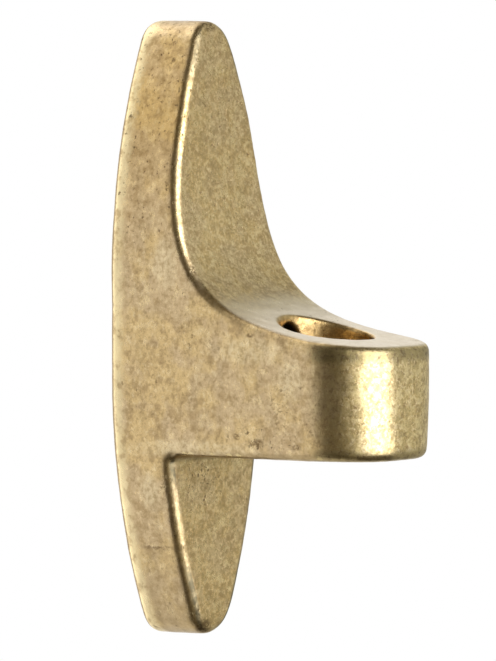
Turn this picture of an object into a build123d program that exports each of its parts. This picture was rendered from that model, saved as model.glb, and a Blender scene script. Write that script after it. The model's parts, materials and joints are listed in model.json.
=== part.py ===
"""Cast brass sash lift with a pole eye, and the machine screw that holds it to a metal sash.

Millimetres. +Z is up as fitted, X runs across the sash, and the lug stands out along -Y.
The origin is where the fixing screw's axis meets the flat back of the plate, which is the plane Y = 0.
"""

from build123d import *
from math import hypot
import os

os.makedirs("parts", exist_ok=True)

# --- plate: a pointed oval, seen from the front -------------------------------------------------
plate_height = 76.0
plate_width = 19.3
plate_rise = 1.1  # the plate's middle is this far above the fixing screw
straight_half = 6.2  # half the length of the parallel stretch in the middle
tip_radius = 3.9
plate_depth_below_lug = 9.1
plate_depth_above_lug = 9.8
plate_depth_at_top = 9.5
tip_set_back = 0.9  # how far the front falls away at the very tips
tip_length = 5.0  # the stretch of each tip over which it does so

# --- lug: flush with the plate's sides, flat below for the fingers, a hollow sweep above --------
lug_reach = 39.2
lug_underside = plate_rise - 15.5
lug_top_at_nose = plate_rise - 1.4
sweep_start = plate_rise + 25.5
sweep_knee_height = plate_rise + 4.7
sweep_toe_depth = 14.5
sweep_toe_height = plate_rise + 0.9
nose_corner_radius = 8.0

# --- pole eye: an upright hole through the lug ---------------------------------------------------
eye_radius = 5.75
eye_depth = 26.6  # from the back of the plate to the eye's axis
eye_lip = 0.5

# --- edges, rounded as a tumbled casting is ------------------------------------------------------
upper_edge = 1.1
lower_edge = 1.3
back_edge = 1.1
finger_corner = 1.0

# --- fixing: an M4 countersunk screw, through a thin metal section and into the plate's back ------
section_thickness = 3.2
screw_length = 20.0  # over its countersunk head
screw_radius = 2.0
thread_pitch = 0.7
thread_depth = 0.43
screw_point = 0.5
head_radius = 3.75
head_rim = 0.3
head_height = 2.2
driver_slot_width = 1.1
driver_slot_depth = 0.9
running_clearance = 0.05  # between the screw's thread and the plain hole that stands for its nut
tapping_radius = 1.65
screwed_depth = 17.6  # how deep the screw's own hole goes, past its point
mouth_chamfer = 1.0

# --- places that follow from these ---------------------------------------------------------------
plate_top = plate_rise + plate_height / 2
plate_bottom = plate_rise - plate_height / 2


def half_oval():
    """Right half of the plate's outline: a straight stretch, two long side arcs and two round tips."""
    half_width = plate_width / 2
    half_height = plate_height / 2
    tip_centre = half_height - tip_radius
    reach = tip_centre - straight_half
    side_radius = (reach**2 + half_width**2 - tip_radius**2) / (2 * (half_width - tip_radius))
    side_centre = half_width - side_radius
    centres_apart = hypot(side_centre, reach)
    meet_x = side_centre - side_radius * side_centre / centres_apart
    meet_y = straight_half + side_radius * reach / centres_apart
    Line((half_width, -straight_half), (half_width, straight_half))
    for way in (1, -1):
        side = TangentArc(
            (half_width, way * straight_half), (meet_x, way * meet_y), tangent=(0, way)
        )
        TangentArc((meet_x, way * meet_y), (0, way * half_height), tangent=side % 1)


def ridges(start, end, crest, root):
    """Points (radius, Y) of ring ridges one pitch apart, from start towards end, crest first and last."""
    turns = int(abs(end - start) / thread_pitch)
    step = thread_pitch if end > start else -thread_pitch
    points = [(crest, start)]
    for turn in range(turns):
        points.append((root, start + (turn + 0.5) * step))
        points.append((crest, start + (turn + 1) * step))
    return points


# --- the casting: plate and lug in one piece -----------------------------------------------------
with BuildPart() as lift_casting:
    # seen from the front, all of it lies inside the pointed oval
    with BuildSketch(Plane.XZ.shift_origin((0, 0, plate_rise))):
        with BuildLine():
            half_oval()
            mirror(about=Plane.YZ)
        make_face()
    extrude(amount=lug_reach)

    # seen from the side: the plate, the sweep, the lug and the flat finger rest under it
    with BuildSketch(Plane.YZ):
        with BuildLine():
            Polyline(
                (tip_set_back - plate_depth_at_top, plate_top),
                (0, plate_top),
                (0, plate_bottom),
                (tip_set_back - plate_depth_below_lug, plate_bottom),
            )
            TangentArc(
                (-plate_depth_below_lug, plate_bottom + tip_length),
                (tip_set_back - plate_depth_below_lug, plate_bottom),
                tangent=(0, -1),
            )
            Polyline(
                (-plate_depth_below_lug, plate_bottom + tip_length),
                (-plate_depth_below_lug, lug_underside),
                (-lug_reach, lug_underside),
                (-lug_reach, lug_top_at_nose),
            )
            sweep_curve = Bezier(
                (-lug_reach, lug_top_at_nose),
                (-sweep_toe_depth, sweep_toe_height),
                (-plate_depth_above_lug, sweep_knee_height),
                (-plate_depth_above_lug, sweep_start),
            )
            top_front = Line(sweep_curve @ 1, (-plate_depth_at_top, plate_top - tip_length))
            TangentArc(
                (-plate_depth_at_top, plate_top - tip_length),
                (tip_set_back - plate_depth_at_top, plate_top),
                tangent=top_front % 1,
            )
        make_face()
    extrude(amount=plate_width, both=True, mode=Mode.INTERSECT)

    # the nose is round from side to side
    nose_corners = lift_casting.edges().filter_by(Axis.Z).group_by(Axis.Y)[0]
    fillet(nose_corners, nose_corner_radius)

    # the corner that the fingers push into, then the rims below and above the lug
    under_lug = lift_casting.edges().filter_by(Axis.X).filter_by(
        lambda edge: abs(edge.center().Z - lug_underside) < 0.01
        and edge.center().Y > -plate_depth_below_lug - 0.01
    )
    fillet(under_lug, finger_corner)
    lower_rim = lift_casting.edges().filter_by(
        lambda edge: edge.center().Z < lug_underside + finger_corner
        and edge.center().Y < 0.3 - plate_depth_below_lug
        and (abs(edge.center().X) > 1 or edge.center().Y < -eye_depth)
    )
    fillet(lower_rim, lower_edge)
    upper_rim = lift_casting.edges().filter_by(
        lambda edge: edge.center().Z > lug_underside + nose_corner_radius
        and edge.center().Y < 0.2 - plate_depth_at_top
        and edge.geom_type != GeomType.CIRCLE
    )
    fillet(upper_rim, upper_edge)

    # the eye, from the finger rest up through the sweep, with its lips eased
    with Locations((0, -eye_depth, 0)):
        Cylinder(eye_radius, plate_height, mode=Mode.SUBTRACT)
    eye_wall = lift_casting.faces().filter_by(GeomType.CYLINDER).filter_by(
        lambda face: abs(face.radius - eye_radius) < 0.001
    )
    eye_lips = eye_wall.edges().filter_by(GeomType.LINE, reverse=True)
    fillet(eye_lips, eye_lip)
    back_rim = lift_casting.edges().filter_by_position(Axis.Y, -0.001, 0.001)
    fillet(back_rim, back_edge)

    # the fixing hole: plain where the screw runs, then ridged with thread until it opens into the eye
    with BuildSketch(Plane.XY):
        with BuildLine():
            Polyline(
                (0, 0),
                (screw_radius + running_clearance + mouth_chamfer, 0),
                (screw_radius + running_clearance, -mouth_chamfer),
                (screw_radius + running_clearance, -screwed_depth),
                *ridges(-screwed_depth, -eye_depth, tapping_radius, tapping_radius + thread_depth),
                (0, -eye_depth),
                close=True,
            )
        make_face()
    revolve(axis=Axis.Y, mode=Mode.SUBTRACT)

lift_casting.part.label = "lift_casting"
export_step(lift_casting.part, "parts/lift_casting.step")

# --- the fixing screw: countersunk, slotted, its head flush with the far face of the section ------
head_face = section_thickness
head_seat = head_face - head_height
screw_tip = head_face - screw_length
with BuildPart() as fixing_screw:
    with BuildSketch(Plane.XY):
        with BuildLine():
            thread = ridges(head_seat, screw_tip + screw_point, screw_radius, screw_radius - thread_depth)
            Polyline(
                (0, head_face),
                (head_radius, head_face),
                (head_radius, head_face - head_rim),
                *thread,
                (screw_radius - screw_point, screw_tip),
                (0, screw_tip),
                close=True,
            )
        make_face()
    revolve(axis=Axis.Y)
    with BuildSketch(Plane.XZ.offset(-head_face)):
        Rectangle(driver_slot_width, 2.5 * head_radius)
    extrude(amount=driver_slot_depth, mode=Mode.SUBTRACT)

fixing_screw.part.label = "fixing_screw"
export_step(fixing_screw.part, "parts/fixing_screw.step")
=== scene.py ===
import json
import math
import bpy
from mathutils import Matrix, Vector


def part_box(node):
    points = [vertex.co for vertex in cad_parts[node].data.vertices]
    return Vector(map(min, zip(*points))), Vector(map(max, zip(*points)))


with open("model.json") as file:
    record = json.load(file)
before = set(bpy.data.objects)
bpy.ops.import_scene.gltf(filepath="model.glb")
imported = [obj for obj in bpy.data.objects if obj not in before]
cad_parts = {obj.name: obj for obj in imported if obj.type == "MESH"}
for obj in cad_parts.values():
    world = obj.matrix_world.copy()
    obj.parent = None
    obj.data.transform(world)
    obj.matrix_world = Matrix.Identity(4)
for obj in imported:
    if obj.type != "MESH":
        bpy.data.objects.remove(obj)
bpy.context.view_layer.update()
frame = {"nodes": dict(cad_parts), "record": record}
scene = bpy.context.scene
MM = 0.001

# ---- places on the casting, from the frame, in millimetres ---------------------------------------
# X is across the sash, the lug reaches along -Y, and +Z is up. The screw's axis is the Y axis.
lowest, highest = (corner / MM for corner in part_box("lift_casting"))
eye = next(mount for mount in frame["record"]["mounts"] if mount["name"] == "pole_eye")
eye_depth = -eye["pos_m"][1] / MM
eye_radius = eye["dims"]["r_mm"]
plate_middle = (lowest.z + highest.z) / 2
nose_tip = lowest.y
lug_underside = plate_middle - 15.5
lug_top_at_nose = plate_middle - 1.4
side = lowest.x  # the side that faces the main camera
eye_wall = eye_radius - eye_depth  # the eye's rear wall, where the fixing hole comes out
SCREW_HOLE_RADIUS = 2.05

# ---- camera: from the left and slightly above, with a long lens ----------------------------------
AZIMUTH, ELEVATION, ROLL = math.radians(-52.0), math.radians(2.7), math.radians(-0.2)
DISTANCE = 1.5
PICTURE_HEIGHT = 82.0 * MM
AIM_RIGHT, AIM_DOWN = 11.38 * MM, 0.54 * MM  # from the plate's middle to the picture's


def add_camera():
    back = Vector((
        math.sin(AZIMUTH) * math.cos(ELEVATION),
        -math.cos(AZIMUTH) * math.cos(ELEVATION),
        math.sin(ELEVATION),
    ))
    level = Vector((0, 0, 1)).cross(back).normalized()
    upright = back.cross(level)
    right = math.cos(ROLL) * level + math.sin(ROLL) * upright
    up = -math.sin(ROLL) * level + math.cos(ROLL) * upright
    data = bpy.data.cameras.new("camera")
    data.sensor_width = 36.0
    data.lens = data.sensor_width * DISTANCE / PICTURE_HEIGHT
    data.clip_end = 20
    camera = bpy.data.objects.new("camera", data)
    scene.collection.objects.link(camera)
    placed = Matrix((right, up, back)).transposed().to_4x4()
    middle = Vector((0, 0, plate_middle * MM))
    placed.translation = middle + right * AIM_RIGHT - up * AIM_DOWN + back * DISTANCE
    camera.matrix_world = placed
    scene.camera = camera


# ---- node trees ----------------------------------------------------------------------------------
class Tree:
    """Adds nodes to a node tree: values are set, sockets are linked."""

    def __init__(self, tree):
        self.tree = tree

    def node(self, kind, out=0, settings=None, **inputs):
        made = self.tree.nodes.new(kind)
        for name, value in (settings or {}).items():
            setattr(made, name, value)
        for name, value in inputs.items():
            key = int(name[1:]) if name[0] == "i" and name[1:].isdigit() else name.replace("_", " ")
            socket = made.inputs[key]
            if isinstance(value, bpy.types.NodeSocket):
                self.tree.links.new(value, socket)
            else:
                socket.default_value = value
        return made.outputs[out]

    def output(self, kind, shader):
        made = self.tree.nodes.new(kind)
        self.tree.links.new(shader, made.inputs["Surface"])

    def math(self, operation, a, b=0.0):
        return self.node("ShaderNodeMath", settings={"operation": operation}, i0=a, i1=b)

    def times(self, first, *others):
        for other in others:
            first = self.math("MULTIPLY", first, other)
        return first

    def most(self, first, *others):
        for other in others:
            first = self.math("MAXIMUM", first, other)
        return first

    def vector(self, operation, out=0, **inputs):
        return self.node("ShaderNodeVectorMath", out=out, settings={"operation": operation}, **inputs)

    def length(self, vector):
        return self.vector("LENGTH", out=1, i0=vector)

    def parts(self, vector):
        """The vector's X, Y and Z."""
        return tuple(self.node("ShaderNodeSeparateXYZ", i0=vector).node.outputs)

    def step(self, value, start, end, low=0.0, high=1.0):
        """Smoothly from low at start to high at end."""
        return self.node(
            "ShaderNodeMapRange", settings={"interpolation_type": "SMOOTHSTEP"},
            Value=value, From_Min=start, From_Max=end, To_Min=low, To_Max=high,
        )

    def mix(self, factor, a, b, blend="MIX"):
        """Blends two colours, each a socket or red, green and blue."""
        a, b = (c if isinstance(c, bpy.types.NodeSocket) else (*c, 1) for c in (a, b))
        return self.node(
            "ShaderNodeMix", out=2, settings={"data_type": "RGBA", "blend_type": blend},
            i0=factor, i6=a, i7=b,
        )

    def noise(self, place, scale, detail=3.0, rough=0.5, distortion=0.0):
        return self.node(
            "ShaderNodeTexNoise", Vector=place, Scale=scale, Detail=detail,
            Roughness=rough, Distortion=distortion,
        )

    def cells(self, place, scale):
        return self.node("ShaderNodeTexVoronoi", Vector=place, Scale=scale)

    def bump(self, height, strength, distance, normal=None):
        inputs = {"Height": height, "Strength": strength, "Distance": distance}
        if normal is not None:
            inputs["Normal"] = normal
        return self.node("ShaderNodeBump", **inputs)


def new_material(name):
    material = bpy.data.materials.new(name)
    material.use_nodes = True
    material.node_tree.nodes.clear()
    return material, Tree(material.node_tree)


class Metal:
    """A metal material, painted in layers. Places are in millimetres in the part's frame."""

    def __init__(self, name):
        self.material, self.t = new_material(name)
        self.place = self.t.vector("SCALE", i0=self.t.node("ShaderNodeTexCoord", out=3), Scale=1 / MM)
        self.x, self.y, self.z = self.t.parts(self.place)
        self.colour = None

    def paint(self, mask, tone, blend="MIX"):
        self.colour = self.t.mix(mask, self.colour, tone, blend)

    def near(self, centre, reach):
        """1 about the centre, and 0 outside the ellipsoid that reaches so far along X, Y and Z."""
        t = self.t
        away = t.vector("DIVIDE", i0=t.vector("SUBTRACT", i0=self.place, i1=centre), i1=reach)
        return t.step(t.length(away), 1.0, 0.35)

    def near_any(self, spots, start=0.0):
        for centre, reach in spots:
            start = self.t.most(start, self.near(centre, reach))
        return start

    def finish(self, rough, normal):
        shader = self.t.node(
            "ShaderNodeBsdfPrincipled",
            Base_Color=self.colour, Metallic=1.0, Roughness=rough, Normal=normal,
        )
        self.t.output("ShaderNodeOutputMaterial", shader)
        return self.material


# ---- aged cast brass -----------------------------------------------------------------------------
GOLD = (0.695, 0.515, 0.255)
DULL_GOLD = (0.620, 0.470, 0.275)
PALE_GOLD = (0.79, 0.62, 0.35)
CREAM = (0.84, 0.69, 0.42)
BROWN = (0.47, 0.335, 0.17)
DARK_BROWN = (0.37, 0.26, 0.125)
PORE = (0.33, 0.24, 0.12)
# painted shade for the faces that point down
UNDERSIDE_SHADE = (0.36, 0.27, 0.14)
RUBBED = (0.80, 0.655, 0.32)
SOOT = (0.15, 0.095, 0.045)

# the centre of each spot and its reach along X, Y and Z, in millimetres
PALER_PATCHES = (
    ((side, -8.9, 9.6), (2.5, 2.6, 4.2)),
    ((side, -22.0, -1.0), (2.5, 7.0, 2.0)),
    ((side, -28.5, -4.5), (2.5, 2.8, 3.6)),
    ((side, -13.0, -13.4), (2.5, 13.0, 1.7)),
    ((-9.0, -5.5, -19.0), (2.5, 2.2, 3.6)),
)
POROUS_SPOTS = (
    ((-2.5, -8.9, -18.0), (5.5, 1.5, 4.2)),
    ((-9.5, -25.0, -11.6), (1.5, 6.5, 2.6)),
    ((-8.2, -5.6, -25.6), (2.0, 3.8, 1.1)),
)
STAINS = (
    ((side, -22.8, -12.4), (2.0, 1.7, 0.9)),
    ((side, -19.9, -11.5), (2.0, 0.8, 0.7)),
    ((side, -29.1, -12.6), (2.0, 0.9, 0.5)),
    ((-9.4, -22.2, 0.9), (2.0, 0.8, 0.4)),
    ((-3.4, -6.0, 36.3), (2.0, 0.45, 0.45)),
    ((-4.5, -6.5, 34.3), (2.0, 0.45, 0.45)),
    ((-0.3, -8.8, 38.6), (1.8, 1.6, 1.2)),
    ((-1.3, -8.6, -36.0), (1.6, 1.6, 1.9)),
)
SEAM_HEIGHT = -26.4
SEAM_SPOT = ((-8.0, -5.4, -25.9), (2.6, 4.2, 3.0))


class CastBrass(Metal):
    """The casting's surface, painted by noises of four sizes and by the way that each face points."""

    def __init__(self, name):
        super().__init__(name)
        t = self.t
        faces = t.parts(t.node("ShaderNodeTexCoord", out=1))
        self.sideways = t.math("ABSOLUTE", faces[0])
        self.forwards = t.math("ABSOLUTE", faces[1])
        self.upwards = faces[2]
        self.patches = t.noise(self.place, 0.17, 3.0, 0.6)
        self.blotches = t.noise(self.place, 0.60, 4.0, 0.6)
        self.mottle = t.noise(self.place, 1.7, 4.0, 0.65)
        self.grain = t.noise(self.place, 5.5, 3.0, 0.6)
        self.below_lug = t.step(self.z, lug_underside, lug_underside - 0.8)

    def layer(self, source, start, end, strength, tone, where=None):
        """Paints a tone in, up to that strength, as the source goes from start to end."""
        mask = self.t.step(source, start, end, 0.0, strength)
        self.paint(mask if where is None else self.t.times(where, mask), tone)

    def tarnish(self):
        """Golden and duller in broad patches, browner in small ones, darker in the pores."""
        self.colour = self.t.mix(self.t.step(self.patches, 0.42, 0.58), GOLD, DULL_GOLD)
        self.layer(self.blotches, 0.50, 0.64, 0.75, BROWN)
        self.layer(self.blotches, 0.46, 0.34, 0.75, PALE_GOLD)
        self.layer(self.mottle, 0.50, 0.68, 0.65, DARK_BROWN)
        self.layer(self.mottle, 0.47, 0.32, 0.50, CREAM)
        self.layer(self.grain, 0.50, 0.72, 0.35, PORE)

    def front_faces(self):
        """Coarser speckle and clouds on the front faces and the nose, and painted light below the lug: the
        front faces are lightened there, against the shade under the lug.
        """
        t = self.t
        speckle = t.noise(self.place, 2.6, 4.0, 0.7)
        clouds = t.noise(self.place, 0.95, 3.0, 0.65)
        front = t.times(
            t.step(self.forwards, 0.25, 0.75),
            t.step(self.y, nose_tip + 15.2, nose_tip + 9.2, 0.5, 1.0),
        )
        self.layer(speckle, 0.50, 0.59, 0.80, (0.36, 0.26, 0.115), front)
        self.layer(speckle, 0.48, 0.39, 0.85, (1.0, 0.86, 0.54), front)
        self.layer(clouds, 0.50, 0.62, 0.60, (0.39, 0.305, 0.17), front)
        self.layer(clouds, 0.50, 0.39, 0.60, (0.90, 0.76, 0.48), front)
        # Painted light: the front faces below the lug are made lighter, to lift the shade under the lug.
        lower = t.times(front, t.step(self.z, lug_underside - 0.6, lug_underside - 2.6))
        self.paint(lower, (1.14, 1.10, 1.04), "MULTIPLY")

    def painted_shade_on_nose_rims_and_underside(self):
        """Painted shade: dark along the nose's upper and lower rims, where the highlight falls off, and
        darker on the faces that point down.
        """
        t = self.t
        upper = t.step(self.z, lug_top_at_nose - 2.4, lug_top_at_nose - 1.2)
        lower = t.step(self.z, lug_underside + 2.0, lug_underside + 0.7)
        shaded_rim_mask = t.times(
            t.most(upper, lower),
            t.step(self.y, nose_tip + 9.2, nose_tip + 6.2),
            t.step(self.upwards, 0.80, 0.45),
            t.step(self.mottle, 0.40, 0.55, 0.90, 0.6),
        )
        # Painted shade along the nose's upper and lower rims.
        self.paint(shaded_rim_mask, (0.10, 0.080, 0.045))
        # Painted shade on the faces that point down.
        self.paint(t.times(t.step(self.upwards, -0.15, -0.55), 0.6), UNDERSIDE_SHADE)

    def golden_upper_side(self):
        """More golden towards the top of the side."""
        t = self.t
        golden = t.times(t.step(self.z, 8.0, 30.0), t.step(self.sideways, 0.85, 0.97, 0.2, 1.0))
        self.paint(golden, (0.86, 0.80, 0.66), "MULTIPLY")

    def rubbed_edges(self):
        """Bright on the rounded edges, where the surface turns fastest, and in places on the nose."""
        t = self.t
        turning = t.node("ShaderNodeNewGeometry", out=7)
        edges = t.times(
            t.step(turning, 0.515, 0.56),
            t.step(self.mottle, 0.25, 0.55, 0.55, 1.0),
            t.math("SUBTRACT", 1.0, t.times(self.below_lug, 0.8)),
        )
        nose = t.times(t.step(self.y, nose_tip + 9.2, nose_tip + 5.2), t.step(self.mottle, 0.62, 0.45), 0.6)
        self.rubbed = t.most(edges, nose)
        self.paint(t.times(self.rubbed, 0.6), RUBBED)

    def paint_shade_on_rims(self):
        """Painted shade on the rim between side and front, below the lug and near the plate's upper tip,
        which dims the highlight on that rim.
        """
        t = self.t
        corner = t.times(t.step(self.sideways, 0.10, 0.26), t.step(self.forwards, 0.62, 0.82))
        ends = t.most(
            t.step(self.z, lowest.z + 10.9, lowest.z + 5.9),
            t.step(self.z, lug_underside - 4.6, lug_underside - 2.1),
        )
        lower = t.times(self.below_lug, t.step(ends, 0.0, 1.0, 0.50, 1.0))
        shaded_rim_mask = t.most(lower, t.step(self.z, highest.z - 10.1, highest.z - 4.1, 0.0, 0.8))
        self.rim_shade = t.times(corner, shaded_rim_mask, t.step(self.mottle, 0.40, 0.56, 0.72, 1.0))
        # Painted shade: a dark tone that dims the rim's highlight.
        self.paint(t.times(self.rim_shade, 0.9), (0.160, 0.142, 0.090))

    def paler_patches_and_back_edge_highlight(self):
        """Softly rubbed patches on the side, and a painted highlight: a paler band along the back edge,
        where it meets the wall, standing in for the light reflected there.
        """
        t = self.t
        soft = t.times(self.near_any(PALER_PATCHES), t.step(self.mottle, 0.60, 0.42, 0.35, 1.0))
        self.paint(t.times(soft, 0.5), (0.84, 0.71, 0.45))
        # Painted highlight: a paler band along the side's back edge, in place of the reflected light there.
        from_wall = t.math("ADD", self.y, t.step(self.mottle, 0.3, 0.7, -0.35, 0.35))
        painted_back_edge_highlight = t.times(t.step(from_wall, -2.8, -1.3), t.step(self.blotches, 0.66, 0.50, 0.3, 1.0))
        self.paint(t.times(painted_back_edge_highlight, 0.8), (0.90, 0.76, 0.45))

    def painted_light_on_lug_top_and_eye(self):
        """Painted light: a paler sheen where the lug's top faces up, reflected light and shade inside the
        eye (more orange and darker), and shade in the fixing hole.
        """
        t = self.t
        # Painted sheen on the lug's top, where it faces up.
        top = t.times(t.step(self.upwards, 0.72, 0.95), t.step(self.y, -12.0, -18.0))
        self.paint(t.times(top, 0.8), (0.82, 0.75, 0.62))
        # Painted reflected light and shade inside the eye: more orange and darker.
        from_axis = t.length(t.vector("MULTIPLY_ADD", i0=self.place, i1=(1, 1, 0), i2=(0, eye_depth, 0)))
        inside = t.step(from_axis, eye_radius + 0.45, eye_radius + 0.10)
        tone = t.mix(t.step(self.mottle, 0.4, 0.6), (0.66, 0.45, 0.18), (0.40, 0.25, 0.09))
        self.paint(t.times(inside, 0.7), tone)
        # Painted shade in the fixing hole, where it comes out into the eye.
        from_screw = t.length(t.vector("MULTIPLY", i0=self.place, i1=(1, 0, 1)))
        hole = t.times(
            t.step(from_screw, SCREW_HOLE_RADIUS + 0.35, SCREW_HOLE_RADIUS),
            t.step(self.y, eye_wall - 0.45, eye_wall + 0.25),
        )
        self.paint(t.times(hole, 0.75), (0.07, 0.045, 0.02))

    def porosity(self):
        """Pits: a few scattered ones, more on the upper side, and groups where the metal was porous."""
        t = self.t
        groups = t.step(t.noise(self.place, 0.25, 2.0), 0.57, 0.67, 0.0, 0.5)
        groups = self.near_any(POROUS_SPOTS, groups)
        upper = t.times(t.step(self.z, 8.0, 16.0, 0.0, 0.8), t.step(self.mottle, 0.50, 0.58))
        groups = t.most(groups, upper)
        wander = t.node("ShaderNodeTexNoise", out=1, Vector=self.place, Scale=2.4, Detail=2.0)
        wander = t.vector("MULTIPLY_ADD", i0=wander, i1=(0.9, 0.9, 0.9), i2=self.place)
        stretched = t.vector("MULTIPLY", i0=wander, i1=(1.0, 0.8, 1.3))
        large = t.step(t.cells(stretched, 1.0), 0.26, 0.16)
        small = t.step(t.cells(wander, 2.2), 0.25, 0.12)
        self.pits = t.times(t.most(large, small), groups)
        self.paint(t.times(self.pits, 0.8), (0.13, 0.085, 0.04))

    def stains_and_seam(self):
        """A few dark stains on the side that faces -X, and a fine casting seam low down on it."""
        t = self.t
        off_seam = t.math("SUBTRACT", t.math("SUBTRACT", self.z, SEAM_HEIGHT), self.mottle)
        seam = t.times(t.step(t.math("ABSOLUTE", off_seam), 0.34, 0.12), self.near(*SEAM_SPOT))
        specks = t.step(t.noise(self.place, 1.9, 4.0, 0.7), 0.42, 0.54)
        self.paint(t.times(t.most(self.near_any(STAINS), seam), specks, 0.8), SOOT)

    def oxide_and_rim_shade_behind(self):
        """The back is as cast and filed, and dark with oxide up to its rim; where the dark reaches over the
        back rim it is also painted shade, a contact shadow along the back edge.
        """
        t = self.t
        self.behind = t.step(t.math("ADD", self.y, t.times(self.mottle, 0.3)), -0.80, -0.50)
        along = t.vector("MULTIPLY", i0=self.place, i1=(7.0, 1.0, 0.35))
        self.filed = t.times(t.noise(along, 1.0, 4.0, 0.7, 0.3), self.behind)
        oxide_with_rim_shade = t.mix(t.step(self.blotches, 0.35, 0.65), (0.15, 0.10, 0.05), (0.27, 0.195, 0.11))
        oxide_with_rim_shade = t.mix(t.step(self.filed, 0.52, 0.66, 0.0, 0.7), oxide_with_rim_shade, (0.52, 0.40, 0.22))
        # Oxide on the back, and painted shade where it reaches over the back rim.
        self.paint(t.times(self.behind, 0.85), oxide_with_rim_shade)

    def roughness(self):
        """Satin: smoother where rubbed, and rougher in the pits, on the nose, the rims with painted shade
        and the back.
        """
        t = self.t
        rough = t.step(self.blotches, 0.3, 0.7, 0.27, 0.37)
        for more in (
            t.step(self.grain, 0.3, 0.7, -0.03, 0.05),
            t.times(self.pits, 0.25),
            t.times(self.rubbed, -0.07),
            t.times(self.behind, 0.2),
            t.step(self.y, nose_tip + 10.2, nose_tip + 7.2, 0.0, 0.06),
            t.times(self.rim_shade, 0.10),
        ):
            rough = t.math("ADD", rough, more)
        return rough

    def relief(self):
        """Bumps, each with its strength and its depth in millimetres."""
        t = self.t
        normal = None
        for height, strength, depth in (
            (t.noise(self.place, 0.9, 4.0, 0.6), 0.14, 0.18),
            (self.grain, 0.30, 0.06),
            (t.noise(self.place, 14.0, 2.0), 0.25, 0.02),
            (self.filed, 0.35, 0.05),
            (t.math("SUBTRACT", 1.0, self.pits), 0.5, 0.08),
        ):
            normal = t.bump(height, strength, depth * MM, normal)
        return normal


def aged_cast_brass():
    brass = CastBrass("aged_cast_brass")
    brass.tarnish()
    brass.front_faces()
    brass.painted_shade_on_nose_rims_and_underside()
    brass.golden_upper_side()
    brass.rubbed_edges()
    brass.paint_shade_on_rims()
    brass.paler_patches_and_back_edge_highlight()
    brass.painted_light_on_lug_top_and_eye()
    brass.porosity()
    brass.stains_and_seam()
    brass.oxide_and_rim_shade_behind()
    return brass.finish(brass.roughness(), brass.relief())


# ---- turned brass screw --------------------------------------------------------------------------
def turned_brass():
    brass = Metal("turned_brass")
    t = brass.t
    radius = t.math("SQRT", t.math("ADD", t.math("POWER", brass.x, 2.0), t.math("POWER", brass.z, 2.0)))
    rings = t.math("SINE", t.times(t.math("ADD", radius, brass.y), 55.0))
    stain = t.noise(brass.place, 0.9, 4.0, 0.6)
    speck = t.noise(brass.place, 5.0, 3.0)
    brass.colour = t.mix(t.step(stain, 0.4, 0.65), (0.80, 0.64, 0.34), (0.55, 0.41, 0.20))
    brass.paint(t.step(speck, 0.55, 0.72, 0.0, 0.6), (0.30, 0.21, 0.10))
    rough = t.math("ADD", t.step(stain, 0.35, 0.7, 0.22, 0.38), t.times(speck, 0.08))
    normal = t.bump(rings, 0.12, 0.02 * MM)
    normal = t.bump(speck, 0.25, 0.04 * MM, normal)
    return brass.finish(rough, normal)


# ---- the casting's surface: an even skin, softened, then uneven as a tumbled casting is ----------
def clouds(name, size):
    texture = bpy.data.textures.new(name, "CLOUDS")
    texture.noise_scale = size
    texture.noise_depth = 2
    return texture


def weather(piece):
    skin = piece.modifiers.new("skin", "REMESH")
    skin.mode = "VOXEL"
    skin.voxel_size = 0.24 * MM
    skin.use_smooth_shade = True
    soften = piece.modifiers.new("soften", "SMOOTH")
    soften.factor = 0.5
    soften.iterations = 6
    for name, size, height in (("sway", 6 * MM, 0.12 * MM), ("dents", 1.6 * MM, 0.05 * MM)):
        uneven = piece.modifiers.new(name, "DISPLACE")
        uneven.texture = clouds(name, size)
        uneven.texture_coords = "LOCAL"
        uneven.mid_level = 0.85  # mostly inward, so that the skin stays inside the CAD box
        uneven.strength = height


# ---- studio: white ground for the camera, a soft surround, one large softbox in front ------------
# Azimuth 0 is in front, at -Y, and 90 is at +X. Angles are in degrees.
DIM = (0.092, 0.076, 0.050)
LEFT = (0.36, 0.335, 0.255)
ROOM = (0.60, 0.59, 0.49)
SHEET = (1.02, 1.0, 0.97)


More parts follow.
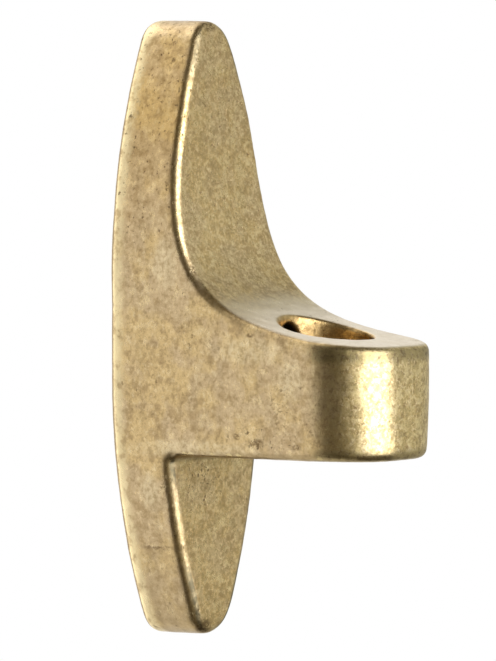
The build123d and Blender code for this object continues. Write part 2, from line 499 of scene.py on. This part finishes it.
def add_surround():
    """Dim all round, with a stretch of wall on the left, the room on the right and a white sheet behind."""
    world = bpy.data.worlds.new("studio")
    scene.world = world
    world.use_nodes = True
    world.node_tree.nodes.clear()
    t = Tree(world.node_tree)
    x, y, z = t.parts(t.node("ShaderNodeTexCoord"))
    azimuth = t.math("DEGREES", t.math("ARCTAN2", x, t.math("MULTIPLY", y, -1.0)))
    height = t.math("DEGREES", t.math("ARCSINE", z))
    turned = t.math("ABSOLUTE", azimuth)
    left = t.times(
        t.step(azimuth, -66, -48), t.step(azimuth, -12, -22), t.step(t.math("ABSOLUTE", height), 60, 25),
    )
    room = t.times(
        t.step(azimuth, 30, 46), t.step(height, 66, 34), t.step(height, -60, -25),
        t.step(height, 10, 34, 0.93, 1.0),
    )
    sheet = t.times(t.step(turned, 109, 123), t.step(height, 76, 62), t.step(height, -55, -22, 0.45, 1.0))
    tone = t.mix(left, DIM, LEFT)
    tone = t.mix(room, tone, ROOM)
    tone = t.mix(sheet, tone, SHEET)
    tone = t.vector("SCALE", i0=tone, Scale=t.step(turned, 134, 164, 1.0, 1.8))
    light = t.node("ShaderNodeBackground", Color=tone, Strength=1.0)
    white = t.node("ShaderNodeBackground", Color=(1, 1, 1, 1), Strength=1.0)
    seen = t.node("ShaderNodeLightPath")
    t.output("ShaderNodeOutputWorld", t.node("ShaderNodeMixShader", i0=seen, i1=light, i2=white))


def add_softbox(name, azimuth, elevation, distance, width, height, power):
    """A white area light that faces the object."""
    a, e = math.radians(azimuth), math.radians(elevation)
    way = Vector((math.sin(a) * math.cos(e), -math.cos(a) * math.cos(e), math.sin(e)))
    data = bpy.data.lights.new(name, "AREA")
    data.shape = "RECTANGLE"
    data.size = width
    data.size_y = height
    data.energy = power
    lamp = bpy.data.objects.new(name, data)
    scene.collection.objects.link(lamp)
    lamp.location = way * distance
    lamp.rotation_euler = way.to_track_quat("Z", "Y").to_euler()
    lamp.visible_camera = False


FLOOR_DROP = 25.1  # below the plate's lower tip, in millimetres


def add_floor():
    """A plain pale disc below the part, which fades to white at its rim."""
    bpy.ops.mesh.primitive_circle_add(
        vertices=96, radius=0.2, fill_type="NGON", location=(0, -0.01, (lowest.z - FLOOR_DROP) * MM),
    )
    floor = bpy.context.object
    floor.name = "floor"
    floor.visible_glossy = False
    material, t = new_material("pale_floor")
    spot = t.node("ShaderNodeTexCoord", out=3)
    paper = t.node(
        "ShaderNodeBsdfPrincipled",
        Base_Color=t.mix(t.noise(spot, 900.0), (0.86, 0.86, 0.85), (0.89, 0.89, 0.88)), Roughness=0.9,
    )
    glow = t.node("ShaderNodeEmission", Color=(1, 1, 1, 1), Strength=1.0)
    fade = t.node("ShaderNodeMixShader", i0=t.step(t.length(spot), 0.06, 0.19), i1=paper, i2=glow)
    t.output("ShaderNodeOutputMaterial", fade)
    floor.data.materials.append(material)
    return floor


# ---- the scene -----------------------------------------------------------------------------------
for name, material in (("lift_casting", aged_cast_brass()), ("fixing_screw", turned_brass())):
    for held in frame["nodes"][name].material_slots:
        held.material = material
weather(frame["nodes"]["lift_casting"])
add_camera()
add_surround()
add_softbox("front_softbox", azimuth=0, elevation=7, distance=0.6, width=0.58, height=0.88, power=6.0)
add_floor()
scene.view_settings.view_transform = "Standard"
